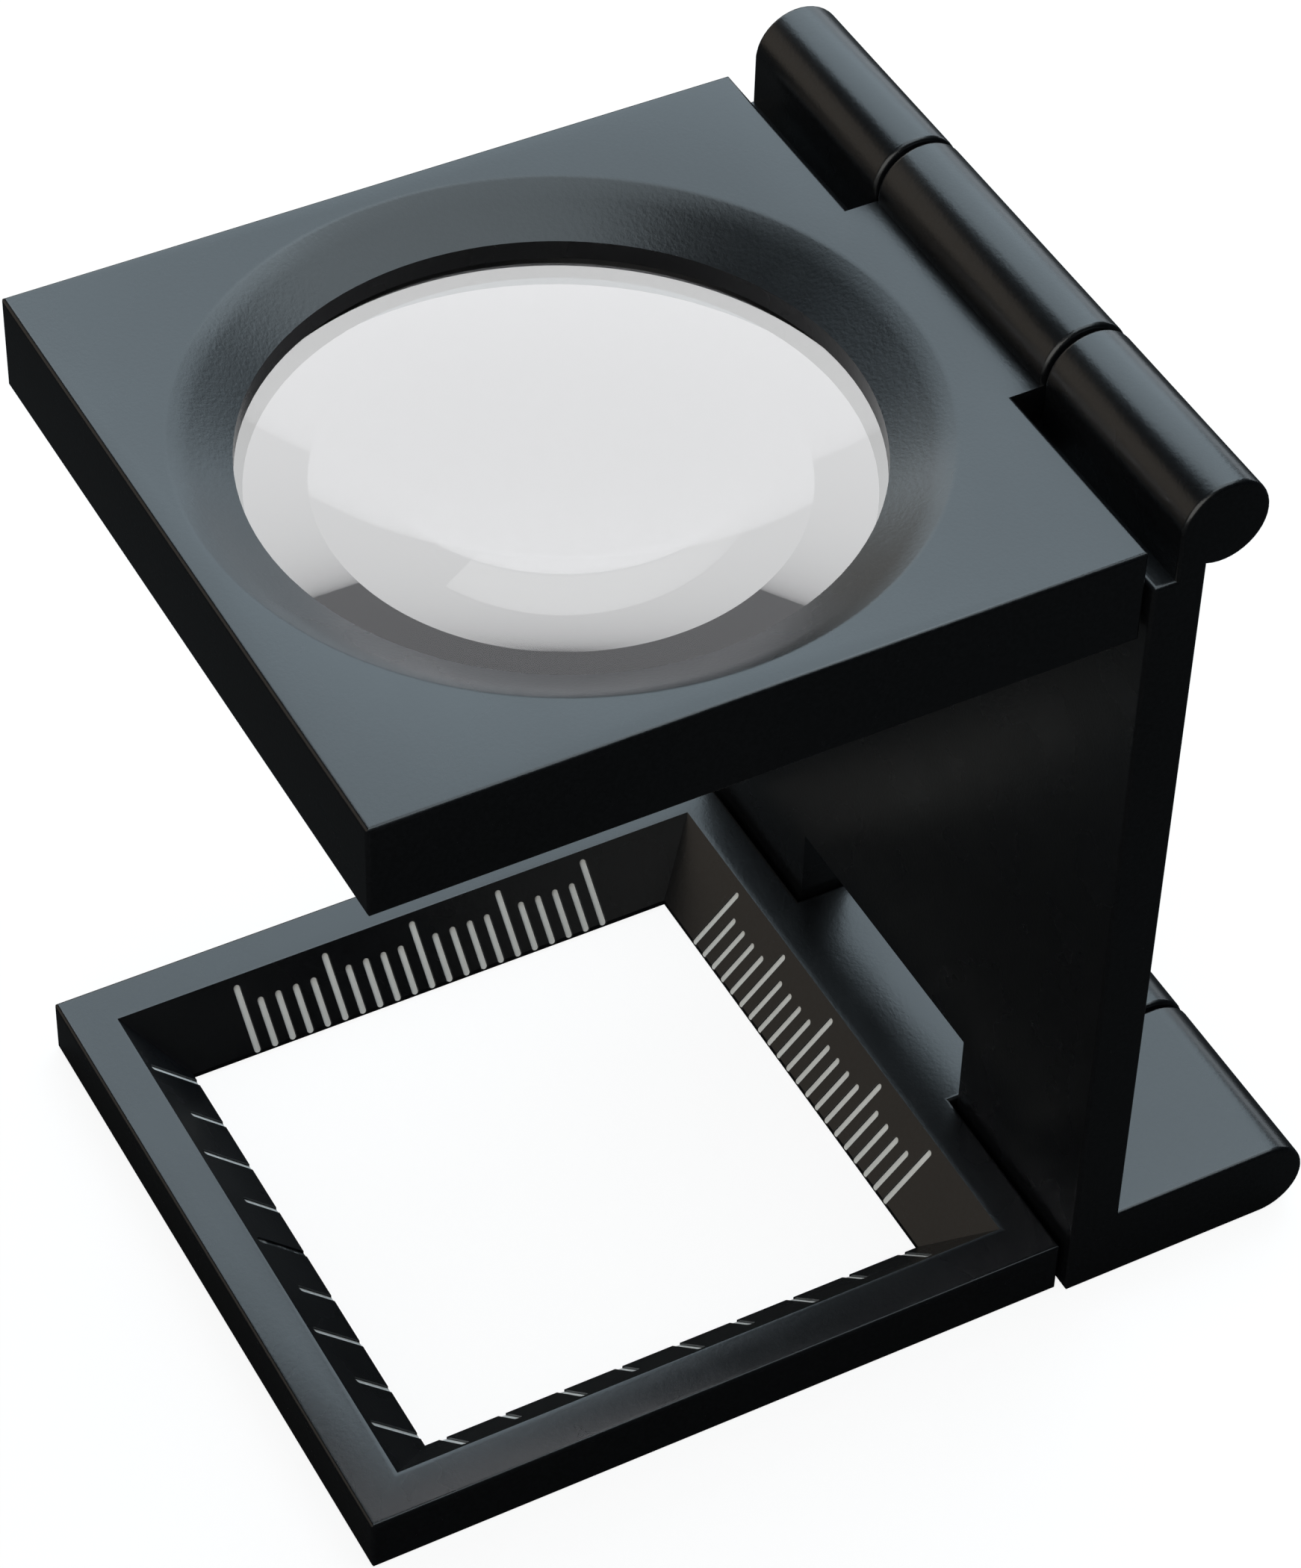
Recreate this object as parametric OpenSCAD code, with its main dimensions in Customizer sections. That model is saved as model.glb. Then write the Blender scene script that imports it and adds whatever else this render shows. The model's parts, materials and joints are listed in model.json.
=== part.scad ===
// Folding linen tester: a base frame with a scaled window, an upright and a lens plate,
// joined by two hinges. It is drawn open, standing on its base frame.
// X runs along the hinges, the hinges are at the back (+Y), Z is up.
// The origin is under the middle of the whole object, on the surface it stands on.

/* [Base frame] */
// How far the base frame stands in from each side of the upright
base_inset = 0.4; // [0:0.05:0.5]
// Length of the base frame, front edge to hinge edge
base_l = 37.5; // [37:0.1:42]
// Thickness of the base frame
base_t = 3.2; // [2.8:0.1:3.5]
// Width of the flat top of each side rail
side_rail = 2.1; // [1.2:0.1:2.1]
// Width of the flat top of the front rail
front_rail = 2.2; // [1.2:0.1:2.6]
// Width of the flat top of the hinge rail
hinge_rail = 1.8; // [1.6:0.1:2.6]
// Height of the plain lip under the window's bevels
window_lip = 0.3; // [0.2:0.05:0.6]
// Width of the narrow facet round the window's top edge
window_facet = 0.28; // [0.1:0.02:0.4]

/* [Scale marks] */
// Width of an engraved mark
mark_w = 0.4; // [0.2:0.02:0.5]
// Depth of an engraved mark
mark_depth = 0.12; // [0.08:0.01:0.2]
// Height left plain above the long marks
mark_margin = 0.4; // [0.3:0.05:0.8]
// How much lower the short marks end
short_step = 0.7; // [0.4:0.05:1.2]
// Number of millimetre steps on each millimetre scale
mm_steps = 20; // [10:5:20]
// Number of eighth-inch steps on each inch scale
inch_steps = 8; // [4:2:8]

/* [Upright] */
// Width of the upright, along the hinges
upright_w = 37.9; // [36.6:0.1:40]
// Thickness of the upright
upright_t = 2.7; // [2:0.1:3.5]
// Height of the opening that the base frame's tongue runs through
notch_h = 7.6; // [5.6:0.1:12]
// Gap between the base frame and the upright
stand_gap = 0.3; // [0.2:0.05:0.5]

/* [Lens plate] */
// How far the lens plate stands in from each side of the upright
plate_inset = 0.2; // [0:0.05:0.3]
// Length of the lens plate, front edge to hinge edge
plate_l = 37.1; // [35.8:0.1:40]
// Thickness of the lens plate
plate_t = 5.1; // [5:0.1:6.5]
// Height of the lens plate's top above the ground
plate_top = 49.3; // [44:0.1:60]
// Gap between the lens plate and the upright
plate_gap = 0.3; // [0.2:0.05:0.6]
// Diameter of the countersunk rim
rim_d = 34.4; // [32:0.1:35]
// Depth of the countersunk rim
rim_depth = 1.5; // [1:0.05:1.55]
// Width of the narrow facet round the rim
rim_facet = 0.25; // [0.1:0.01:0.4]

/* [Lens] */
// Diameter of the lens
lens_d = 31.4; // [31:0.1:31.6]
// Radius of curvature of both faces of the lens
lens_r = 75; // [70:1:160]
// Thickness of the lens at its edge
lens_edge = 0.4; // [0.3:0.05:0.65]
// Diameter at which the bevel under the lens's rim starts
lens_bevel_d = 22; // [21.5:0.5:28]
// Slope of the bevel under the lens's rim
lens_bevel_angle = 12.5; // [8:0.5:13]
// Clear opening above the lens
aperture_d = 28.8; // [26:0.1:29]
// Thickness of the lip that the lens bears against
lens_lip = 1; // [0.6:0.05:1.05]
// Gap round the edge of the lens
lens_gap = 0.05; // [0.02:0.01:0.1]
// Clear opening of the retaining ring
ring_bore = 30.4; // [29:0.1:30.4]
// Width of the spanner slots in the retaining ring
slot_w = 1.4; // [1:0.1:2]
// Depth of the spanner slots
slot_depth = 0.6; // [0.4:0.05:0.8]
// Turn of the spanner slots, as the ring is screwed home, from the hinges' direction
slot_turn = 65; // [0:5:175]

/* [Hinges] */
// Outer diameter of the hinge knuckles
barrel_d = 4.5; // [4.1:0.1:5]
// Width of the lens plate's middle knuckle
upper_tongue_w = 14.6; // [8:0.1:20]
// Width of the base frame's middle knuckle
lower_tongue_w = 15.6; // [8:0.1:20]
// Thickness of the web between the lens plate and its knuckle
web_t = 1.7; // [1.2:0.1:1.9]
// Gap between neighbouring knuckles
knuckle_gap = 0.25; // [0.15:0.05:0.5]
// Distance of the upper hinge axis behind the upright
axis_back = 0.7; // [0.3:0.05:0.8]
// Height of the upper hinge axis above the lens plate
axis_rise = 0.35; // [0.3:0.05:0.8]
// Space left on the folded lens plate under the base frame
fold_gap = 0.3; // [0.3:0.05:1]
// Diameter of the hinge pins
pin_d = 1.8; // [1.4:0.1:2.2]
// Radial clearance of the pins in the turning knuckles
pin_clearance = 0.03; // [0.02:0.01:0.06]
// Metal left over the blind end of each pin hole
blind_end = 1.2; // [0.8:0.1:2]
// Depth of the pin heads below the side of the upright
pin_setback = 0.1; // [0:0.05:0.4]

/* [Finish] */
// Radius of the softened edges
edge_r = 0.25; // [0.15:0.05:0.3]

/* [Hidden] */
$fn = 96;

paint_black = "#2b2d2f";
paint_white = "#f0f0ec";
bare_steel = "#8f9296";
clear_glass = "#dfe6ea";

inch = 25.4;
mm_step = 1;
inch_step = inch / 8;
mm_long_every = 5;
inch_long_every = 2;
barrel_r = barrel_d / 2;
base_w = upright_w - 2 * base_inset;
plate_w = upright_w - 2 * plate_inset;
// fall of the narrow facets for each unit of their width
facet_fall = 0.3;
bevel = base_t - window_lip;
window_foot = window_facet * (1 - facet_fall) + bevel;
window_top_w = base_w - 2 * side_rail;
window_top_l = base_l - front_rail - hinge_rail;
// circles as flat as a lens face need more segments than the rest, the small ends of marks fewer
lens_fn = 8 * $fn;
mark_fn = $fn / 4;
// how far a cut runs past the face it opens
past = 1;
// how far one solid runs into the next of the same piece
bury = 0.8;

// Places along Y are counted from the base frame's front edge
inner_y = base_l + stand_gap;
outer_y = inner_y + upright_t;
upper_y = outer_y + axis_back;
upper_z = plate_top + axis_rise;
lower_y = upper_y + axis_rise + plate_t + fold_gap + barrel_r;
lower_z = barrel_r;
overall_l = lower_y + barrel_r;
window_y = front_rail + window_top_l / 2;
plate_back = min(inner_y, upper_y - barrel_r) - plate_gap;
plate_y = plate_back - plate_l / 2;
plate_bottom = plate_top - plate_t;

// The upright's wall ends under the turning knuckle of the lens plate
wall_top = min(upper_z - barrel_r, plate_top - web_t) - knuckle_gap;
upper_knuckle_x = upper_tongue_w / 2 + knuckle_gap;
lower_knuckle_x = lower_tongue_w / 2 + knuckle_gap;

// Heights of the lens, which hangs from the lip by its upper face
lens_seat = plate_top - rim_depth - lens_lip;
lens_top = lens_seat + sag(aperture_d / 2);
lens_edge_top = lens_top - sag(lens_d / 2);
lens_edge_foot = lens_edge_top - lens_edge;
lens_bottom = lens_edge_foot - bevel_fall(lens_bevel_d / 2) - sag(lens_bevel_d / 2);
ring_top = lens_edge_foot - bevel_fall(ring_bore / 2);
lens_hole_d = lens_d + 2 * lens_gap;

// Depth of a lens face at a radius from its middle
function sag(r) = lens_r - sqrt(lens_r * lens_r - r * r);

// Fall of the bevel under the lens's rim, from its edge in to a radius
function bevel_fall(r) = (lens_d / 2 - r) * tan(lens_bevel_angle);

// Puts a piece drawn from the front edge over the origin
module in_place() {
    translate([0, -overall_l / 2, 0]) children();
}

// Rectangle about the middle with round corners
module soft_rect(w, h) {
    square([w - 2 * edge_r, h], center = true);
    square([w, h - 2 * edge_r], center = true);
    for (x = [-1, 1], y = [-1, 1])
        translate([x * (w / 2 - edge_r), y * (h / 2 - edge_r)]) circle(edge_r);
}

// Block between two corners, softened along all its edges
module soft_block(low, high) {
    size = high - low;
    translate((low + high) / 2) intersection() {
        linear_extrude(size.z, center = true) soft_rect(size.x, size.y);
        rotate([90, 0, 0]) linear_extrude(size.y, center = true) soft_rect(size.x, size.z);
        rotate([90, 0, 90]) linear_extrude(size.x, center = true) soft_rect(size.y, size.z);
    }
}

// Round bar along X between two places, softened at its ends
module soft_bar(x0, x1, r) {
    translate([x0, 0, 0]) rotate([90, 0, 90]) rotate_extrude() {
        square([r - edge_r, x1 - x0]);
        translate([0, edge_r]) square([r, x1 - x0 - 2 * edge_r]);
        for (y = [edge_r, x1 - x0 - edge_r]) translate([r - edge_r, y]) circle(edge_r);
    }
}

// Plain hole along X between two places
module hole(x0, x1, d) {
    translate([x0, 0, 0]) rotate([0, 90, 0]) cylinder(d = d, h = x1 - x0);
}

// Outline of the window across one direction: lip, bevel, facet. It is given its width at the top.
module window_outline(w) {
    rim = w / 2;
    foot = rim - window_foot;
    side = [[foot, -past], [foot, window_lip], [rim - window_facet, base_t - window_facet * facet_fall],
            [rim, base_t], [rim, base_t + past]];
    polygon(concat(side, [for (i = [len(side) - 1:-1:0]) [-side[i].x, side[i].y]]));
}

module window() {
    translate([0, window_y, 0]) intersection() {
        rotate([90, 0, 0]) linear_extrude(2 * base_l, center = true) window_outline(window_top_w);
        rotate([90, 0, 90]) linear_extrude(2 * base_w, center = true) window_outline(window_top_l);
    }
}

// Outline of one mark from the lip up the slope, with a round end
module mark_outline(length) {
    straight = length - mark_w / 2;
    translate([-mark_w / 2, -2 * mark_depth]) square([mark_w, straight + 2 * mark_depth]);
    translate([0, straight]) circle(d = mark_w, $fn = mark_fn);
}

// Row of marks up one bevel: the row runs along X, its bevel faces -Y and starts at y = 0
module marks(steps, step, long_every) {
    for (i = [0:steps]) {
        rise = bevel - mark_margin - (i % long_every == 0 ? 0 : short_step);
        translate([(i - steps / 2) * step, 0, window_lip]) rotate([45, 0, 0])
            linear_extrude(2 * mark_depth, center = true) mark_outline(rise * sqrt(2));
    }
}

// Turns a row of marks to one side of the window: 0 hinge, 90 side, 180 front, 270 near
module to_bevel(turn) {
    reach = (turn % 180 == 0 ? window_top_l : window_top_w) / 2 - window_foot;
    translate([0, window_y, 0]) rotate([0, 0, turn]) translate([0, reach, 0]) children();
}

module all_marks(sides) {
    for (turn = sides) to_bevel(turn) {
        if (turn < 180) marks(mm_steps, mm_step, mm_long_every);
        else marks(inch_steps, inch_step, inch_long_every);
    }
}

// The frame itself, before it is engraved
module plain_frame() {
    difference() {
        soft_block([-base_w / 2, 0, 0], [base_w / 2, base_l, base_t]);
        window();
    }
}

// Tongue that runs under the upright to the middle knuckle, level with the base frame
module base_tongue() {
    translate([0, lower_y, base_t / 2]) rotate([90, 0, 0])
        linear_extrude(lower_y - base_l + bury) soft_rect(lower_tongue_w, base_t);
    translate([0, lower_y, lower_z]) soft_bar(-lower_tongue_w / 2, lower_tongue_w / 2, barrel_r);
}

module base_frame() {
    color(paint_black) in_place() difference() {
        union() {
            plain_frame();
            base_tongue();
        }
        all_marks([0, 90, 180, 270]);
        translate([0, lower_y, lower_z]) hole(-lower_tongue_w, lower_tongue_w, pin_d + 2 * pin_clearance);
    }
}

// Paint that fills the marks of one bevel, level with the metal
module paint(turn) {
    color(paint_white) in_place() intersection() {
        plain_frame();
        all_marks([turn]);
    }
}

module upright() {
    half = upright_w / 2;
    color(paint_black) in_place() difference() {
        union() {
            difference() {
                soft_block([-half, inner_y, 0], [half, outer_y, wall_top]);
                translate([-lower_knuckle_x, inner_y - past, -past])
                    cube([2 * lower_knuckle_x, upright_t + 2 * past, notch_h + past]);
            }
            for (x = [[-half, -lower_knuckle_x], [lower_knuckle_x, half]]) {
                soft_block([x[0], inner_y, 0], [x[1], lower_y + edge_r, barrel_d]);
                translate([0, lower_y, lower_z]) soft_bar(x[0], x[1], barrel_r);
            }
            for (x = [[-half, -upper_knuckle_x], [upper_knuckle_x, half]]) {
                soft_block([x[0], upper_y - barrel_r, wall_top - bury], [x[1], outer_y, upper_z + edge_r]);
                translate([0, upper_y, upper_z]) soft_bar(x[0], x[1], barrel_r);
            }
        }
        translate([0, lower_y, lower_z]) hole(-half - past, half - blind_end, pin_d);
        translate([0, upper_y, upper_z]) hole(-half - past, half - blind_end, pin_d);
    }
}

// Pin driven in from the far side of the upright, with softened ends
module hinge_pin(y, z) {
    head = -upright_w / 2 + pin_setback;
    tip = upright_w / 2 - blind_end;
    color(bare_steel) in_place() translate([0, y, z]) soft_bar(head, tip, pin_d / 2);
}

// Round bodies about the lens axis, between two heights
module about_lens(z) {
    translate([0, plate_y, z]) children();
}

module lens_plate() {
    facet_drop = rim_facet * facet_fall;
    half = plate_w / 2;
    plate_front = plate_back - plate_l;
    color(paint_black) in_place() difference() {
        union() {
            soft_block([-half, plate_front, plate_bottom], [half, plate_back, plate_top]);
            translate([-upper_tongue_w / 2, plate_back - bury, plate_top - web_t])
                cube([upper_tongue_w, upper_y - plate_back + bury, web_t]);
            translate([0, upper_y, upper_z]) soft_bar(-upper_tongue_w / 2, upper_tongue_w / 2, barrel_r);
        }
        about_lens(plate_top - facet_drop)
            cylinder(d1 = rim_d, d2 = rim_d + 4 * rim_facet, h = 2 * facet_drop);
        about_lens(plate_top - rim_depth) cylinder(d1 = aperture_d, d2 = rim_d, h = rim_depth - facet_drop);
        about_lens(plate_bottom - past) cylinder(d = aperture_d, h = plate_t);
        about_lens(plate_bottom - past) cylinder(d = lens_hole_d, h = lens_seat - plate_bottom + past);
        translate([0, upper_y, upper_z]) hole(-upper_tongue_w, upper_tongue_w, pin_d + 2 * pin_clearance);
    }
}

module lens() {
    color(clear_glass, 0.4) in_place() about_lens(0) rotate_extrude() intersection() {
        translate([0, lens_top - lens_r]) circle(lens_r, $fn = lens_fn);
        translate([0, lens_bottom + lens_r]) circle(lens_r, $fn = lens_fn);
        polygon([[0, lens_edge_foot - bevel_fall(0)], [lens_d / 2, lens_edge_foot],
                 [lens_d / 2, lens_top], [0, lens_top]]);
    }
}

module lens_retaining_ring() {
    color(paint_black) in_place() difference() {
        about_lens(plate_bottom) cylinder(d = lens_hole_d, h = ring_top - plate_bottom);
        about_lens(plate_bottom - past) cylinder(d = ring_bore, h = plate_t);
        about_lens(plate_bottom) rotate([0, 0, slot_turn])
            cube([2 * lens_hole_d, slot_w, 2 * slot_depth], center = true);
    }
}

base_frame();
paint(90);  // side_millimetre_marks
paint(0);  // hinge_millimetre_marks
paint(180);  // front_inch_marks
paint(270);  // near_inch_marks
upright();
hinge_pin(lower_y, lower_z);  // lower_hinge_pin
hinge_pin(upper_y, upper_z);  // upper_hinge_pin
lens_plate();
lens();
lens_retaining_ring();
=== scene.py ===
"""Looks of the folding linen tester: its satin black paint, white scales, lens, stage and camera.

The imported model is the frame. Every length here is in metres and every place is in the frame's own
axes: X along the hinges, the hinges at the back (+Y), Z up.
"""
import json
import math

import bmesh
import bpy
from mathutils import Matrix, Vector

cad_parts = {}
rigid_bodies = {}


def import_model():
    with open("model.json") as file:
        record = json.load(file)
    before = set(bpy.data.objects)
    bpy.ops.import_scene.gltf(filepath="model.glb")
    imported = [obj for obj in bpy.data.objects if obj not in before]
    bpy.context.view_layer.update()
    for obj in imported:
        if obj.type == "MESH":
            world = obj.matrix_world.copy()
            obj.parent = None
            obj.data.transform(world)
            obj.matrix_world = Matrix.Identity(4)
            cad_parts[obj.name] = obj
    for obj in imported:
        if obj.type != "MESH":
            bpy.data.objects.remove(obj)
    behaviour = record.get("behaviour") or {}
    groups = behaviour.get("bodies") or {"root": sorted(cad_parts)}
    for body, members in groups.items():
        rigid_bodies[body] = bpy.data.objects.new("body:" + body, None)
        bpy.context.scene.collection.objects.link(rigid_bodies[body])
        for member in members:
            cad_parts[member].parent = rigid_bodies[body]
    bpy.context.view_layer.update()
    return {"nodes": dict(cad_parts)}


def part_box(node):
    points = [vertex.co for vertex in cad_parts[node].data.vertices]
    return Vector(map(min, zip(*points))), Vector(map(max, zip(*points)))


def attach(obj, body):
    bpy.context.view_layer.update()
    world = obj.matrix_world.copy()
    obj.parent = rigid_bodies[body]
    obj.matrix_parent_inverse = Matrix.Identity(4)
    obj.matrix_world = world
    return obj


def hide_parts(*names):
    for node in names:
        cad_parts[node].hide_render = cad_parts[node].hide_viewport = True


bl_info = {
    "name": "Folding linen tester",
    "version": (1, 0, 0),
    "blender": (4, 5, 0),
    "location": "3D View > Sidebar > Linen tester",
    "description": "Dresses the packed linen tester in its finishes and sets its stage",
    "category": "Object",
}

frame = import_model()

MM = 0.001
INCH = 25.4 * MM
# points of a CAD node that are nearer than this are one point
MERGE = 0.0002 * MM
# marks in a row, and how much lower the short ones end
MM_MARKS = 21
INCH_MARKS = 9
SHORT_STEP = 0.7 * MM
# rings and segments of each face of the lens
LENS_RINGS = 48
LENS_SEGMENTS = 320
# glow of the floor where it is seen, and its own tone there and for the light that it throws back
FLOOR_GLOW = 0.88
FLOOR_TONE_SEEN = 0.16
FLOOR_TONE = 0.03
FLOOR_HALF = 2.5
# every lamp shines on the middle of the part from the same distance
LAMP_AIM = Vector((0, 0, 30 * MM))
LAMP_DISTANCE = 0.6
LENS_LAMP = ("lens_softbox", (-0.62, 0.31, 0.72), 2.0, 1.7, 1.5, (0.97, 0.98, 1.05))
# name, direction from the part, width, height, brightness of its face, colour
LAMPS = (
    ("main_softbox", (-0.62, 0.32, 0.64), 0.66, 0.52, 2.2, (0.82, 1.0, 1.12)),
    ("top_softbox", (0.05, 0.26, 0.95), 0.6, 0.56, 2.0, (0.86, 1.0, 1.08)),
    ("low_back_softbox", (-0.62, 0.77, 0.14), 0.5, 0.16, 1.45, (0.90, 1.0, 1.08)),
    ("low_front_fill", (0.55, -0.75, 0.42), 0.68, 0.6, 1.6, (1.0, 1.0, 0.96)),
    ("warm_front_fill", (-0.62, -0.74, 0.25), 0.5, 0.35, 0.45, (1.0, 0.88, 0.74)),
    ("warm_left_fill", (-0.95, -0.05, 0.25), 0.45, 0.3, 0.5, (1.0, 0.88, 0.74)),
)


# Colours and nodes

def linear(hex_colour, alpha=1.0):
    """An sRGB hex colour as linear values."""
    channels = [int(hex_colour[i:i + 2], 16) / 255 for i in (1, 3, 5)]
    return (*[c / 12.92 if c <= 0.04045 else ((c + 0.055) / 1.055) ** 2.4 for c in channels], alpha)


def srgb(hex_colour):
    """An sRGB hex colour as the values that a colour property shows."""
    return linear(hex_colour)[:3]


def add_node(tree, kind, links=(), **settings):
    """Adds a node with its settings. links are (input, value or output socket) pairs."""
    node = tree.nodes.new(kind)
    for name, value in settings.items():
        setattr(node, name, value)
    for socket, value in links:
        if isinstance(value, bpy.types.NodeSocket):
            tree.links.new(value, node.inputs[socket])
        else:
            node.inputs[socket].default_value = value
    return node


def new_material(name):
    """An empty material with its output node."""
    material = bpy.data.materials.new(name)
    material.use_nodes = True
    material.node_tree.nodes.clear()
    return material, material.node_tree


def finish_material(tree, surface):
    """Links a surface to the material's output."""
    add_node(tree, "ShaderNodeOutputMaterial", [("Surface", surface)])


# Meshes

def put(mesh, name, material):
    """Makes an object of a mesh, at the origin, with one material."""
    piece = bpy.data.objects.new(name, mesh)
    bpy.context.scene.collection.objects.link(piece)
    mesh.materials.clear()
    mesh.materials.append(material)
    return piece


def shade(work, angle):
    """Smooths all faces of a bmesh and keeps the edges that turn by more than an angle sharp."""
    for face in work.faces:
        face.smooth = True
    for edge in work.edges:
        edge.smooth = len(edge.link_faces) == 2 and edge.calc_face_angle(math.pi) < angle


def smooth_copy(node, material, angle=math.radians(24)):
    """A merged copy of a CAD node, so that its barrels and softened edges shade as true curves."""
    work = bmesh.new()
    work.from_mesh(frame["nodes"][node].data)
    bmesh.ops.remove_doubles(work, verts=work.verts, dist=MERGE)
    shade(work, angle)
    mesh = bpy.data.meshes.new(node + "_piece")
    work.to_mesh(mesh)
    work.free()
    return put(mesh, node + "_piece", material)


def settle(piece, body, slot, *nodes):
    """Lets a finished piece ride on its body in place of its CAD nodes."""
    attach(piece, body)
    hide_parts(*nodes)


# Finishes

def satin_black_enamel(settings):
    """Baked satin black enamel on metal: sprayed, so its skin has a fine even grain.

    The eye gets a soft grey sheen where it mirrors a light and near black elsewhere.
    """
    material, tree = new_material("satin_black_enamel")
    place = add_node(tree, "ShaderNodeTexCoord").outputs["Object"]
    # sprayed droplets about a quarter of a millimetre across
    grain = add_node(tree, "ShaderNodeTexNoise", [
        ("Vector", place), ("Scale", 1 / settings.grain), ("Detail", 2.0), ("Roughness", 0.6)])
    # slow changes of the coat over a few millimetres
    drift = add_node(tree, "ShaderNodeTexNoise", [
        ("Vector", place), ("Scale", 1 / (6 * MM)), ("Detail", 3.0), ("Roughness", 0.5)])
    tone = add_node(tree, "ShaderNodeValToRGB", [("Fac", grain.outputs["Fac"])])
    tone.color_ramp.elements[0].position = 0.35
    tone.color_ramp.elements[0].color = (*[0.72 * c for c in settings.colour], 1)
    tone.color_ramp.elements[1].position = 0.68
    tone.color_ramp.elements[1].color = (*[1.35 * c for c in settings.colour], 1)
    rough = add_node(tree, "ShaderNodeMapRange", [
        ("Value", drift.outputs["Fac"]), ("From Min", 0.3), ("From Max", 0.7),
        ("To Min", settings.roughness - 0.03), ("To Max", settings.roughness + 0.03)])
    skin = add_node(tree, "ShaderNodeBump", [
        ("Height", grain.outputs["Fac"]), ("Strength", 0.35), ("Distance", 0.02 * MM)])
    paint = add_node(tree, "ShaderNodeBsdfPrincipled", [
        ("Base Color", tone.outputs["Color"]), ("Roughness", rough.outputs["Result"]),
        ("IOR", settings.ior), ("Normal", skin.outputs["Normal"])])
    finish_material(tree, paint.outputs["BSDF"])
    return material


def white_scale_paint(settings):
    """White enamel wiped into engraved lines: matt, a little thin and grey at places.

    One line has lost most of its paint, which its wear attribute says.
    """
    material, tree = new_material("white_scale_paint")
    place = add_node(tree, "ShaderNodeTexCoord").outputs["Object"]
    patch = add_node(tree, "ShaderNodeTexNoise", [
        ("Vector", place), ("Scale", 1 / (0.5 * MM)), ("Detail", 3.0), ("Roughness", 0.6)])
    wear = add_node(tree, "ShaderNodeAttribute", attribute_name="wear").outputs["Fac"]
    worn = add_node(tree, "ShaderNodeMath", [(0, wear), (1, patch.outputs["Fac"])],
                    operation="MULTIPLY")
    bare = add_node(tree, "ShaderNodeMapRange", [
        ("Value", worn.outputs["Value"]), ("From Min", 0.12), ("From Max", 0.5)])
    white = add_node(tree, "ShaderNodeMix", [
        (0, patch.outputs["Fac"]), (6, (*[0.86 * c for c in settings.colour], 1)),
        (7, (*settings.colour, 1))], data_type="RGBA")
    tone = add_node(tree, "ShaderNodeMix", [
        (0, bare.outputs["Result"]), (6, white.outputs[2]),
        (7, (0.02, 0.022, 0.024, 1))], data_type="RGBA")
    skin = add_node(tree, "ShaderNodeBump", [
        ("Height", patch.outputs["Fac"]), ("Strength", 0.3), ("Distance", 0.02 * MM)])
    paint = add_node(tree, "ShaderNodeBsdfPrincipled", [
        ("Base Color", tone.outputs[2]), ("Roughness", 0.6), ("IOR", 1.5),
        ("Normal", skin.outputs["Normal"])])
    finish_material(tree, paint.outputs["BSDF"])
    return material


def drawn_steel():
    """Drawn steel wire of the hinge pins, cut to length: fine lines along the wire."""
    material, tree = new_material("drawn_steel")
    place = add_node(tree, "ShaderNodeTexCoord").outputs["Object"]
    along = add_node(tree, "ShaderNodeMapping", [("Vector", place), ("Scale", (0.05, 1, 1))])
    lines = add_node(tree, "ShaderNodeTexNoise", [
        ("Vector", along.outputs["Vector"]), ("Scale", 1 / (0.08 * MM)), ("Detail", 3.0)])
    rough = add_node(tree, "ShaderNodeMapRange", [
        ("Value", lines.outputs["Fac"]), ("To Min", 0.28), ("To Max", 0.5)])
    skin = add_node(tree, "ShaderNodeBump", [
        ("Height", lines.outputs["Fac"]), ("Strength", 0.3), ("Distance", 0.01 * MM)])
    steel = add_node(tree, "ShaderNodeBsdfPrincipled", [
        ("Base Color", linear("#a3a5a8")), ("Metallic", 1.0),
        ("Roughness", rough.outputs["Result"]), ("Normal", skin.outputs["Normal"])])
    finish_material(tree, steel.outputs["BSDF"])
    return material


def blackened_brass():
    """Turned brass ring, chemically blackened: fine turned lines about the lens axis."""
    material, tree = new_material("blackened_brass")
    place = add_node(tree, "ShaderNodeTexCoord").outputs["Object"]
    patch = add_node(tree, "ShaderNodeTexNoise", [
        ("Vector", place), ("Scale", 1 / (1.5 * MM)), ("Detail", 4.0)])
    turned = add_node(tree, "ShaderNodeTexNoise", [
        ("Vector", place), ("Scale", 1 / (0.1 * MM)), ("Detail", 1.0)])
    tone = add_node(tree, "ShaderNodeMix", [
        (0, patch.outputs["Fac"]), (6, linear("#191919")), (7, linear("#26221d"))],
        data_type="RGBA")
    skin = add_node(tree, "ShaderNodeBump", [
        ("Height", turned.outputs["Fac"]), ("Strength", 0.2), ("Distance", 0.01 * MM)])
    brass = add_node(tree, "ShaderNodeBsdfPrincipled", [
        ("Base Color", tone.outputs[2]), ("Roughness", 0.45), ("Normal", skin.outputs["Normal"])])
    finish_material(tree, brass.outputs["BSDF"])
    return material


def polished_crown_glass(settings):
    """Polished crown glass, uncoated, with grey reflections on its lower face. Its grey colour is
    painted shade: it darkens the view through the lens as the shaded ground under it would.
    """
    material, tree = new_material("polished_crown_glass")
    glass = add_node(tree, "ShaderNodeBsdfPrincipled", [
        ("Base Color", (*settings.colour, 1)), ("Roughness", 0.0), ("IOR", settings.ior),
        ("Transmission Weight", 1.0)])
    finish_material(tree, glass.outputs["BSDF"])
    return material


# Settings

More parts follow.
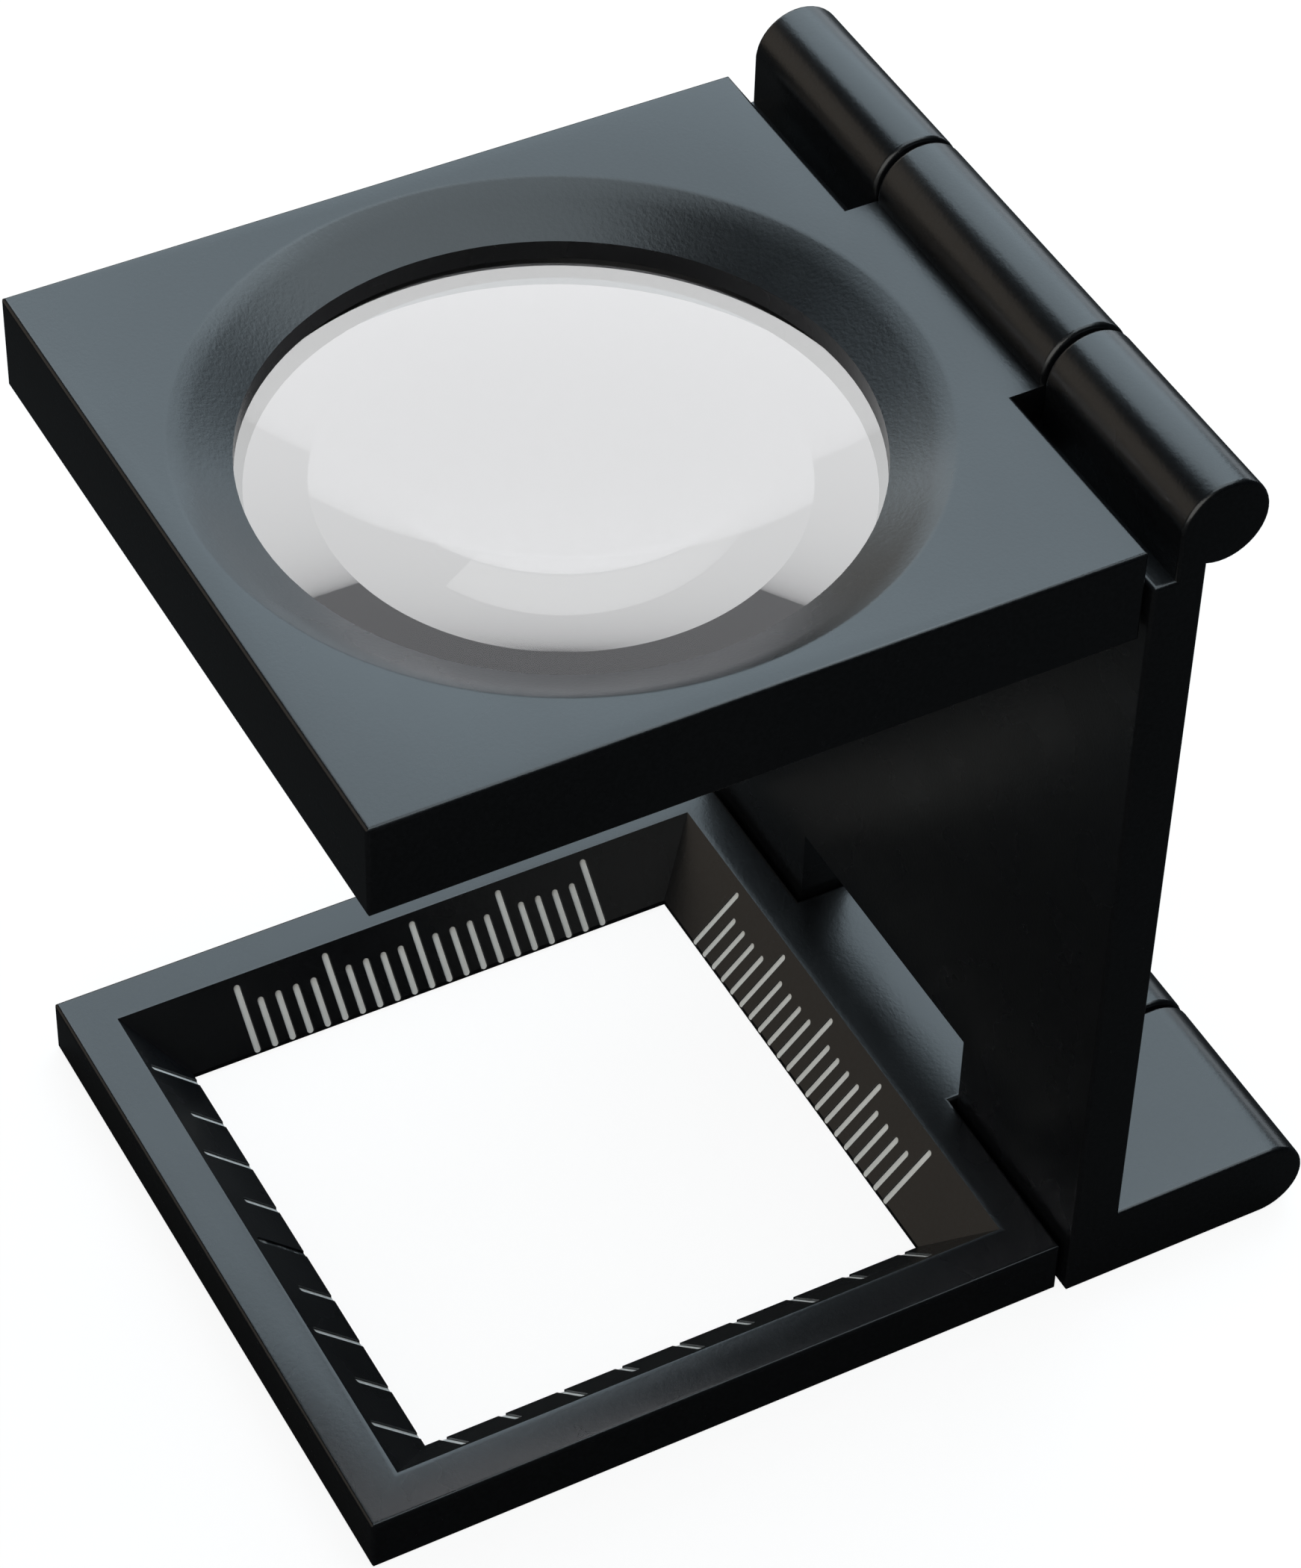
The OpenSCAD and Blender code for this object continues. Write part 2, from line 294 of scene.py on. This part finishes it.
class EnamelSettings(bpy.types.PropertyGroup):
    """The black enamel on the three metal leaves."""

    colour: bpy.props.FloatVectorProperty(
        name="Colour", description="Colour of the enamel", subtype="COLOR", size=3, min=0, max=1,
        default=srgb("#0b0c0e"))
    roughness: bpy.props.FloatProperty(
        name="Roughness", description="How far the sheen spreads", default=0.28, min=0.1, max=1)
    ior: bpy.props.FloatProperty(
        name="Index", description="Refractive index of the baked lacquer", default=1.6, min=1,
        max=2)
    grain: bpy.props.FloatProperty(
        name="Grain", description="Size of the grain in the enamel's skin", default=0.22 * MM,
        min=0.05 * MM, max=2 * MM, unit="LENGTH")


class MarkSettings(bpy.types.PropertyGroup):
    """The white marks on the four bevels."""

    colour: bpy.props.FloatVectorProperty(
        name="Colour", description="Colour of the paint in the marks", subtype="COLOR", size=3,
        min=0, max=1, default=srgb("#f0f0ec"))
    width: bpy.props.FloatProperty(
        name="Width", description="Width of a mark", default=0.35 * MM, unit="LENGTH")
    depth: bpy.props.FloatProperty(
        name="Depth", description="Depth of the paint in its groove", default=0.11 * MM,
        unit="LENGTH")
    proud: bpy.props.FloatProperty(
        name="Proud", description="How far the paint stands over the bevel", default=0.015 * MM,
        unit="LENGTH")
    unevenness: bpy.props.FloatProperty(
        name="Unevenness", description="Share by which the lengths differ", default=0.04, min=0,
        max=0.2)
    seed: bpy.props.IntProperty(name="Seed", description="Choice of uneven lengths", default=7)


class LensSettings(bpy.types.PropertyGroup):
    """The lens."""

    # the grey default colour is painted shade: the real glass is clear, and this darkens what shows
    # through it
    colour: bpy.props.FloatVectorProperty(
        name="Colour", description="Colour of the light that the glass lets through",
        subtype="COLOR", size=3, min=0, max=1, default=(0.64, 0.64, 0.64))
    ior: bpy.props.FloatProperty(
        name="Index", description="Refractive index of the glass", default=1.517, min=1, max=2)
    radius: bpy.props.FloatProperty(
        name="Curvature", description="Radius of curvature of both faces", default=75 * MM,
        unit="LENGTH")
    edge: bpy.props.FloatProperty(
        name="Edge", description="Thickness at the edge", default=0.4 * MM, unit="LENGTH")
    bevel_start: bpy.props.FloatProperty(
        name="Bevel start", description="Radius at which the bevel under the rim starts",
        default=11 * MM, unit="LENGTH")
    bevel: bpy.props.FloatProperty(
        name="Bevel", description="Slope of the bevel under the rim",
        default=math.radians(12.5), subtype="ANGLE")


class StageSettings(bpy.types.PropertyGroup):
    """Floor, lamps and camera."""

    azimuth: bpy.props.FloatProperty(
        name="Azimuth", description="Where the camera stands, turned about Z from the front",
        default=math.radians(60.56), subtype="ANGLE")
    elevation: bpy.props.FloatProperty(
        name="Elevation", description="Height of the camera over the horizon",
        default=math.radians(44.87), subtype="ANGLE")
    roll: bpy.props.FloatProperty(
        name="Roll", description="Turn of the picture", default=math.radians(1.94),
        subtype="ANGLE")
    distance: bpy.props.FloatProperty(
        name="Distance", description="Distance from the camera to its aim",
        default=244.3 * MM, unit="LENGTH")
    aim: bpy.props.FloatVectorProperty(
        name="Aim", description="Point that the camera looks at", size=3, subtype="TRANSLATION",
        default=(-0.77 * MM, -1.304 * MM, 23.867 * MM))
    lens: bpy.props.FloatProperty(
        name="Focal length", description="Focal length in millimetres", default=117.78)


# Scale marks

def mark_group():
    """Geometry nodes for one mark: a flat bar with round ends, from its foot up along Y."""
    tree = bpy.data.node_groups.new("one_mark", "GeometryNodeTree")
    face = tree.interface
    for name in ("Length", "Width", "Depth"):
        face.new_socket(name, in_out="INPUT", socket_type="NodeSocketFloat").subtype = "DISTANCE"
    face.new_socket("Mark", in_out="OUTPUT", socket_type="NodeSocketGeometry")
    given = add_node(tree, "NodeGroupInput").outputs
    outline = add_node(tree, "GeometryNodeCurvePrimitiveQuadrilateral", [
        ("Width", given["Width"]), ("Height", given["Length"])])
    half = add_node(tree, "ShaderNodeMath", [(0, given["Width"]), (1, 0.49)],
                    operation="MULTIPLY")
    rounded = add_node(tree, "GeometryNodeFilletCurve", [
        ("Curve", outline.outputs["Curve"]), ("Count", 5), ("Radius", half.outputs["Value"]),
        ("Limit Radius", True)], mode="POLY")
    filled = add_node(tree, "GeometryNodeFillCurve", [("Curve", rounded.outputs["Curve"])],
                      mode="NGONS")
    solid = add_node(tree, "GeometryNodeExtrudeMesh", [
        ("Mesh", filled.outputs["Mesh"]), ("Offset Scale", given["Depth"]),
        ("Individual", False)])
    foot = add_node(tree, "ShaderNodeMath", [(0, given["Length"]), (1, 0.5)],
                    operation="MULTIPLY")
    move = add_node(tree, "ShaderNodeCombineXYZ", [("Y", foot.outputs["Value"])])
    placed = add_node(tree, "GeometryNodeTransform", [
        ("Geometry", solid.outputs["Mesh"]), ("Translation", move.outputs["Vector"])])
    add_node(tree, "NodeGroupOutput", [("Mark", placed.outputs["Geometry"])])
    return tree


ROW_INPUTS = (
    ("Marks", "NodeSocketInt"), ("Step", "NodeSocketFloat"), ("Long every", "NodeSocketInt"),
    ("Long length", "NodeSocketFloat"), ("Short length", "NodeSocketFloat"),
    ("Width", "NodeSocketFloat"), ("Depth", "NodeSocketFloat"),
    ("Unevenness", "NodeSocketFloat"), ("Seed", "NodeSocketInt"),
    ("Worn mark", "NodeSocketInt"), ("Paint", "NodeSocketMaterial"))


def row_group(mark_tree):
    """Geometry nodes for one row of marks along X, with every so manyth mark long."""
    tree = bpy.data.node_groups.new("scale_row", "GeometryNodeTree")
    for name, kind in ROW_INPUTS:
        tree.interface.new_socket(name, in_out="INPUT", socket_type=kind)
    tree.interface.new_socket("Row", in_out="OUTPUT", socket_type="NodeSocketGeometry")
    given = add_node(tree, "NodeGroupInput").outputs
    gaps = add_node(tree, "ShaderNodeMath", [(0, given["Marks"]), (1, 1.0)],
                    operation="SUBTRACT")
    reach = add_node(tree, "ShaderNodeMath", [(0, gaps.outputs[0]), (1, given["Step"])],
                     operation="MULTIPLY")
    start = add_node(tree, "ShaderNodeMath", [(0, reach.outputs[0]), (1, -0.5)],
                     operation="MULTIPLY")
    first = add_node(tree, "ShaderNodeCombineXYZ", [("X", start.outputs[0])])
    step = add_node(tree, "ShaderNodeCombineXYZ", [("X", given["Step"])])
    line = add_node(tree, "GeometryNodeMeshLine", [
        ("Count", given["Marks"]), ("Start Location", first.outputs[0]),
        ("Offset", step.outputs[0])])
    index = add_node(tree, "GeometryNodeInputIndex").outputs["Index"]
    is_worn = add_node(tree, "FunctionNodeCompare", [(2, index), (3, given["Worn mark"])],
                       data_type="INT", operation="EQUAL")
    marked = add_node(tree, "GeometryNodeStoreNamedAttribute", [
        ("Geometry", line.outputs["Mesh"]), ("Name", "wear"), ("Value", is_worn.outputs[0])],
        data_type="FLOAT", domain="POINT")
    place_in_five = add_node(tree, "ShaderNodeMath", [(0, index), (1, given["Long every"])],
                             operation="MODULO")
    is_long = add_node(tree, "FunctionNodeCompare", [
        ("A", place_in_five.outputs[0]), ("B", 0.5)], data_type="FLOAT", operation="LESS_THAN")
    is_short = add_node(tree, "FunctionNodeBooleanMath", [(0, is_long.outputs[0])],
                        operation="NOT")
    shortest = add_node(tree, "ShaderNodeMath", [(0, 1.0), (1, given["Unevenness"])],
                        operation="SUBTRACT")
    longest = add_node(tree, "ShaderNodeMath", [(0, 1.0), (1, given["Unevenness"])],
                       operation="ADD")
    stretch = add_node(tree, "FunctionNodeRandomValue", [
        (2, shortest.outputs[0]), (3, longest.outputs[0]), ("Seed", given["Seed"])],
        data_type="FLOAT")
    size = add_node(tree, "ShaderNodeCombineXYZ", [
        ("X", 1.0), ("Y", stretch.outputs[1]), ("Z", 1.0)])
    joined = add_node(tree, "GeometryNodeJoinGeometry")
    for length, chosen in (("Long length", is_long), ("Short length", is_short)):
        mark = add_node(tree, "GeometryNodeGroup", node_tree=mark_tree)
        for name, source in (("Length", length), ("Width", "Width"), ("Depth", "Depth")):
            tree.links.new(given[source], mark.inputs[name])
        placed = add_node(tree, "GeometryNodeInstanceOnPoints", [
            ("Points", marked.outputs["Geometry"]), ("Selection", chosen.outputs[0]),
            ("Instance", mark.outputs["Mark"]), ("Scale", size.outputs[0])])
        tree.links.new(placed.outputs["Instances"], joined.inputs["Geometry"])
    real = add_node(tree, "GeometryNodeRealizeInstances", [
        ("Geometry", joined.outputs["Geometry"])])
    painted = add_node(tree, "GeometryNodeSetMaterial", [
        ("Geometry", real.outputs["Geometry"]), ("Material", given["Paint"])])
    add_node(tree, "NodeGroupOutput", [("Row", painted.outputs["Geometry"])])
    return tree


def grown(name, tree, values):
    """The plain mesh that a geometry node tree makes with these named inputs."""
    holder = bpy.data.objects.new(name + "_holder", bpy.data.meshes.new(name + "_holder"))
    bpy.context.scene.collection.objects.link(holder)
    modifier = holder.modifiers.new("rows", "NODES")
    modifier.node_group = tree
    sockets = {i.name: i.identifier for i in tree.interface.items_tree if i.in_out == "INPUT"}
    for key, value in values.items():
        modifier[sockets[key]] = value
    ready = holder.evaluated_get(bpy.context.evaluated_depsgraph_get())
    mesh = bpy.data.meshes.new_from_object(ready)
    mesh.name = name
    bpy.data.objects.remove(holder)
    return mesh


def bevel_foot(node, turn):
    """Where a bevel starts under a row of marks, and the middle of that row, from its CAD box."""
    low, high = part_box(node)
    middle = (low + high) / 2
    if turn == 0:
        return Vector((middle.x, low.y, low.z))
    if turn == 180:
        return Vector((middle.x, high.y, low.z))
    if turn == 90:
        return Vector((high.x, middle.y, low.z))
    return Vector((low.x, middle.y, low.z))


class LINENTESTER_OT_scale_marks(bpy.types.Operator):
    """Make the four rows of white marks on the bevels"""

    bl_idname = "linentester.scale_marks"
    bl_label = "Scale marks"

    def execute(self, context):
        settings = context.scene.linentester_marks
        paint = white_scale_paint(settings)
        tree = row_group(mark_group())
        rows = (("side_millimetre_marks", 90, False, -1), ("hinge_millimetre_marks", 0, False, -1),
                ("front_inch_marks", 180, True, 4), ("near_inch_marks", 270, True, -1))
        for seed, (node, turn, inches, worn) in enumerate(rows):
            low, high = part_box(node)
            climb = (high.z - low.z) * math.sqrt(2)
            mesh = grown(node + "_piece", tree, {
                "Marks": INCH_MARKS if inches else MM_MARKS,
                "Step": INCH / 8 if inches else MM,
                "Long every": 2 if inches else 5,
                "Long length": climb,
                "Short length": climb - SHORT_STEP * math.sqrt(2),
                "Width": settings.width,
                "Depth": settings.depth + settings.proud,
                "Unevenness": settings.unevenness,
                "Seed": settings.seed + seed,
                "Worn mark": worn,
                "Paint": paint})
            # from the row's own plane up its bevel, and round to its side of the window
            foot = Matrix.Translation((0, 0, -settings.depth))
            slope = Matrix.Rotation(math.radians(45), 4, "X")
            mesh.transform(Matrix.Translation(bevel_foot(node, turn))
                           @ Matrix.Rotation(math.radians(turn), 4, "Z") @ slope @ foot)
            work = bmesh.new()
            work.from_mesh(mesh)
            bmesh.ops.remove_doubles(work, verts=work.verts, dist=MERGE)
            bmesh.ops.recalc_face_normals(work, faces=work.faces)
            shade(work, math.radians(30))
            work.to_mesh(mesh)
            work.free()
            piece = put(mesh, node + "_piece", paint)
            settle(piece, "base", "white_paint", node)
        return {"FINISHED"}


# Metal leaves

def enamel(context):
    """The one black enamel, made when it is first asked for."""
    return (bpy.data.materials.get("satin_black_enamel")
            or satin_black_enamel(context.scene.linentester_enamel))


class LINENTESTER_OT_base_frame(bpy.types.Operator):
    """Make the base frame with its bevelled window and hinge tongue"""

    bl_idname = "linentester.base_frame"
    bl_label = "Base frame"

    def execute(self, context):
        piece = smooth_copy("base_frame", enamel(context))
        settle(piece, "base", "black_paint", "base_frame")
        return {"FINISHED"}


class LINENTESTER_OT_upright(bpy.types.Operator):
    """Make the upright with its feet and knuckles"""

    bl_idname = "linentester.upright"
    bl_label = "Upright"

    def execute(self, context):
        piece = smooth_copy("upright", enamel(context))
        settle(piece, "standing_wall", "black_paint", "upright")
        return {"FINISHED"}


class LINENTESTER_OT_hinge_pins(bpy.types.Operator):
    """Make the two hinge pins"""

    bl_idname = "linentester.hinge_pins"
    bl_label = "Hinge pins"

    def execute(self, context):
        steel = drawn_steel()
        for node in ("lower_hinge_pin", "upper_hinge_pin"):
            settle(smooth_copy(node, steel), "standing_wall", "steel", node)
        return {"FINISHED"}


class LINENTESTER_OT_lens_plate(bpy.types.Operator):
    """Make the lens plate with its countersunk rim"""

    bl_idname = "linentester.lens_plate"
    bl_label = "Lens plate"

    def execute(self, context):
        piece = smooth_copy("lens_plate", enamel(context))
        settle(piece, "lens_holder", "black_paint", "lens_plate")
        return {"FINISHED"}


class LINENTESTER_OT_retaining_ring(bpy.types.Operator):
    """Make the ring that holds the lens from below"""

    bl_idname = "linentester.retaining_ring"
    bl_label = "Lens retaining ring"

    def execute(self, context):
        piece = smooth_copy("lens_retaining_ring", blackened_brass())
        settle(piece, "lens_holder", "black_paint", "lens_retaining_ring")
        return {"FINISHED"}


# Lens

def sag(radius_of_curvature, radius):
    """Depth of a lens face at a radius from its pole."""
    return radius_of_curvature - math.sqrt(radius_of_curvature ** 2 - radius ** 2)


def lens_profile(settings, half, top):
    """Radius and height of the rings on both faces, the edge's lower height and the lower pole."""
    curve = settings.radius
    start = settings.bevel_start
    edge_top = top - sag(curve, half)
    edge_foot = edge_top - settings.edge
    bevel_foot = edge_foot - (half - start) * math.tan(settings.bevel)
    pole = bevel_foot - sag(curve, start)
    shares = [i / LENS_RINGS for i in range(1, LENS_RINGS + 1)]
    upper = [(half * share, top - sag(curve, half * share)) for share in shares]
    lower = [(start * share, pole + sag(curve, start * share)) for share in reversed(shares)]
    return upper, lower, edge_foot, pole


def lens_mesh(settings, centre, half, top):
    """The lens, finely divided so that it bends light as the true one does."""
    segments = LENS_SEGMENTS
    work = bmesh.new()
    upper, lower, edge_foot, pole = lens_profile(settings, half, top)
    ringed = []
    for radius, height in [*upper, (half, edge_foot), *lower]:
        ringed.append([work.verts.new((
            centre.x + radius * math.cos(math.tau * i / segments),
            centre.y + radius * math.sin(math.tau * i / segments), height))
            for i in range(segments)])
    for outer, inner in zip(ringed, ringed[1:]):
        for i in range(segments):
            j = (i + 1) % segments
            work.faces.new((outer[i], inner[i], inner[j], outer[j]))
    for ring, height in ((ringed[0], top), (ringed[-1], pole)):
        point = work.verts.new((centre.x, centre.y, height))
        for i in range(segments):
            work.faces.new((ring[i], ring[(i + 1) % segments], point))
    bmesh.ops.recalc_face_normals(work, faces=work.faces)
    shade(work, math.radians(4))
    mesh = bpy.data.meshes.new("lens_piece")
    work.to_mesh(mesh)
    work.free()
    return mesh


class LINENTESTER_OT_lens(bpy.types.Operator):
    """Make the lens"""

    bl_idname = "linentester.lens"
    bl_label = "Lens"

    def execute(self, context):
        settings = context.scene.linentester_lens
        low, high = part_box("lens")
        mesh = lens_mesh(settings, (low + high) / 2, (high.x - low.x) / 2, high.z)
        piece = put(mesh, "lens_piece", polished_crown_glass(settings))
        settle(piece, "lens_holder", "lens_glass", "lens")
        return {"FINISHED"}


# Stage

def seen_white(tree):
    """1 for rays from the camera and for those that mirror or pass through the object."""
    path = add_node(tree, "ShaderNodeLightPath").outputs
    mirrored = add_node(tree, "ShaderNodeMath", [
        (0, path["Is Camera Ray"]), (1, path["Is Glossy Ray"])], operation="ADD")
    return add_node(tree, "ShaderNodeMath", [
        (0, mirrored.outputs[0]), (1, path["Is Transmission Ray"])], operation="ADD",
        use_clamp=True).outputs[0]


def floor_paper():
    """Pale studio paper: white where it is seen, with the object's faint shadow on it."""
    material, tree = new_material("pale_studio_paper")
    strength = add_node(tree, "ShaderNodeMath", [(0, seen_white(tree)), (1, FLOOR_GLOW)],
                        operation="MULTIPLY")
    glow = add_node(tree, "ShaderNodeEmission", [("Strength", strength.outputs[0])])
    camera = add_node(tree, "ShaderNodeLightPath").outputs["Is Camera Ray"]
    tone = add_node(tree, "ShaderNodeMix", [
        (0, camera), (6, (*[FLOOR_TONE] * 3, 1)), (7, (*[FLOOR_TONE_SEEN] * 3, 1))],
        data_type="RGBA")
    lit = add_node(tree, "ShaderNodeBsdfDiffuse", [("Color", tone.outputs[2])])
    both = add_node(tree, "ShaderNodeAddShader", [(0, glow.outputs[0]), (1, lit.outputs[0])])
    finish_material(tree, both.outputs[0])
    return material


def backdrop_paper():
    """White backdrop. Other rays go through it to the dim light of the studio."""
    material, tree = new_material("white_backdrop")
    clear = add_node(tree, "ShaderNodeBsdfTransparent")
    glow = add_node(tree, "ShaderNodeEmission", [("Strength", 1.0)])
    both = add_node(tree, "ShaderNodeMixShader", [
        (0, seen_white(tree)), (1, clear.outputs[0]), (2, glow.outputs[0])])
    finish_material(tree, both.outputs[0])
    return material


def set_world():
    """The dim even light of the studio."""
    world = bpy.data.worlds.new("studio")
    world.use_nodes = True
    tree = world.node_tree
    tree.nodes.clear()
    sky = add_node(tree, "ShaderNodeBackground", [("Color", (0.03, 0.029, 0.028, 1))])
    add_node(tree, "ShaderNodeOutputWorld", [("Surface", sky.outputs[0])])
    bpy.context.scene.world = world


def dome_mesh(radius):
    """Half a sphere over the floor, its faces inwards."""
    work = bmesh.new()
    bmesh.ops.create_uvsphere(work, u_segments=48, v_segments=24, radius=radius)
    low = [v for v in work.verts if v.co.z < -0.001]
    bmesh.ops.delete(work, geom=low, context="VERTS")
    bmesh.ops.reverse_faces(work, faces=work.faces)
    mesh = bpy.data.meshes.new("backdrop")
    work.to_mesh(mesh)
    work.free()
    return mesh


def softbox(name, toward, width, height, radiance, colour):
    """An area lamp that shines on the part from a direction, given the brightness of its face."""
    lamp = bpy.data.lights.new(name, "AREA")
    lamp.shape = "RECTANGLE"
    lamp.size = width
    lamp.size_y = height
    lamp.color = colour
    lamp.energy = radiance * math.pi * width * height
    holder = bpy.data.objects.new(name, lamp)
    bpy.context.scene.collection.objects.link(holder)
    toward = Vector(toward).normalized()
    holder.location = LAMP_AIM + LAMP_DISTANCE * toward
    holder.visible_camera = False
    holder.rotation_mode = "QUATERNION"
    holder.rotation_quaternion = toward.to_track_quat("Z", "Y")
    return holder


class LINENTESTER_OT_stage(bpy.types.Operator):
    """Set the floor, the lamps and the camera"""

    bl_idname = "linentester.stage"
    bl_label = "Stage"

    def execute(self, context):
        settings = context.scene.linentester_stage
        set_world()
        mesh = bpy.data.meshes.new("floor")
        half = FLOOR_HALF
        mesh.from_pydata([(-half, -half, 0), (half, -half, 0), (half, half, 0), (-half, half, 0)],
                         [], [(0, 1, 2, 3)])
        floor = put(mesh, "floor", floor_paper())
        backdrop = put(dome_mesh(half), "backdrop", backdrop_paper())
        # glass and metal show the white ground, the satin enamel is lit by the lamps alone
        mirrors = bpy.data.collections.new("glass_and_metal")
        for name in ("lens_piece", "lower_hinge_pin_piece", "upper_hinge_pin_piece"):
            mirrors.objects.link(bpy.data.objects[name])
        for ground in (floor, backdrop):
            ground.light_linking.receiver_collection = mirrors
        # the lens has a lamp of its own, so wide that hardly an edge of it shows in the lens
        rest = bpy.data.collections.new("all_but_the_lens")
        alone = bpy.data.collections.new("lens_alone")
        for item in context.scene.collection.objects:
            (alone if item.name == "lens_piece" else rest).objects.link(item)
        softbox(*LENS_LAMP).light_linking.receiver_collection = alone
        for lamp in LAMPS:
            softbox(*lamp).light_linking.receiver_collection = rest
        self.set_camera(context, settings)
        return {"FINISHED"}

    def set_camera(self, context, settings):
        """Stands the camera where the photograph's stood."""
        a, e, r = settings.azimuth, settings.elevation, settings.roll
        back = Vector((math.sin(a) * math.cos(e), -math.cos(a) * math.cos(e), math.sin(e)))
        right = Vector((0, 0, 1)).cross(back).normalized()
        up = back.cross(right)
        turned_right = math.cos(r) * right + math.sin(r) * up
        turned_up = math.cos(r) * up - math.sin(r) * right
        data = bpy.data.cameras.new("camera")
        data.lens = settings.lens
        data.clip_start = 0.01
        data.clip_end = 10
        camera = bpy.data.objects.new("camera", data)
        context.scene.collection.objects.link(camera)
        basis = Matrix((turned_right, turned_up, back)).transposed().to_4x4()
        place = Vector(settings.aim) + settings.distance * back
        camera.matrix_world = Matrix.Translation(place) @ basis
        context.scene.camera = camera


class LINENTESTER_PT_panel(bpy.types.Panel):
    """Linen tester"""

    bl_idname = "LINENTESTER_PT_panel"
    bl_label = "Linen tester"
    bl_space_type = "VIEW_3D"
    bl_region_type = "UI"
    bl_category = "Linen tester"

    def draw(self, context):
        for title, group in GROUPS:
            box = self.layout.box()
            box.label(text=title)
            settings = getattr(context.scene, group)
            for name in settings.__annotations__:
                box.prop(settings, name)
        for operator in OPERATORS:
            self.layout.operator(operator.bl_idname)


GROUPS = (("Black enamel", "linentester_enamel"), ("Scale marks", "linentester_marks"),
          ("Lens", "linentester_lens"), ("Stage", "linentester_stage"))
SETTINGS = (("linentester_enamel", EnamelSettings), ("linentester_marks", MarkSettings),
            ("linentester_lens", LensSettings), ("linentester_stage", StageSettings))
OPERATORS = (LINENTESTER_OT_base_frame, LINENTESTER_OT_scale_marks, LINENTESTER_OT_upright,
             LINENTESTER_OT_hinge_pins, LINENTESTER_OT_lens_plate, LINENTESTER_OT_lens,
             LINENTESTER_OT_retaining_ring, LINENTESTER_OT_stage)


def register():
    """Registers the settings, the operators and the panel."""
    for name, group in SETTINGS:
        bpy.utils.register_class(group)
        setattr(bpy.types.Scene, name, bpy.props.PointerProperty(type=group))
    for operator in OPERATORS:
        bpy.utils.register_class(operator)
    bpy.utils.register_class(LINENTESTER_PT_panel)


def unregister():
    """Takes the classes and settings away again."""
    bpy.utils.unregister_class(LINENTESTER_PT_panel)
    for operator in reversed(OPERATORS):
        bpy.utils.unregister_class(operator)
    for name, group in reversed(SETTINGS):
        delattr(bpy.types.Scene, name)
        bpy.utils.unregister_class(group)


def main():
    """Dresses the part, one operator after another."""
    register()
    bpy.context.scene.view_settings.view_transform = "Standard"
    for operator in OPERATORS:
        group, name = operator.bl_idname.split(".")
        getattr(getattr(bpy.ops, group), name)()


if __name__ == "__main__":
    main()
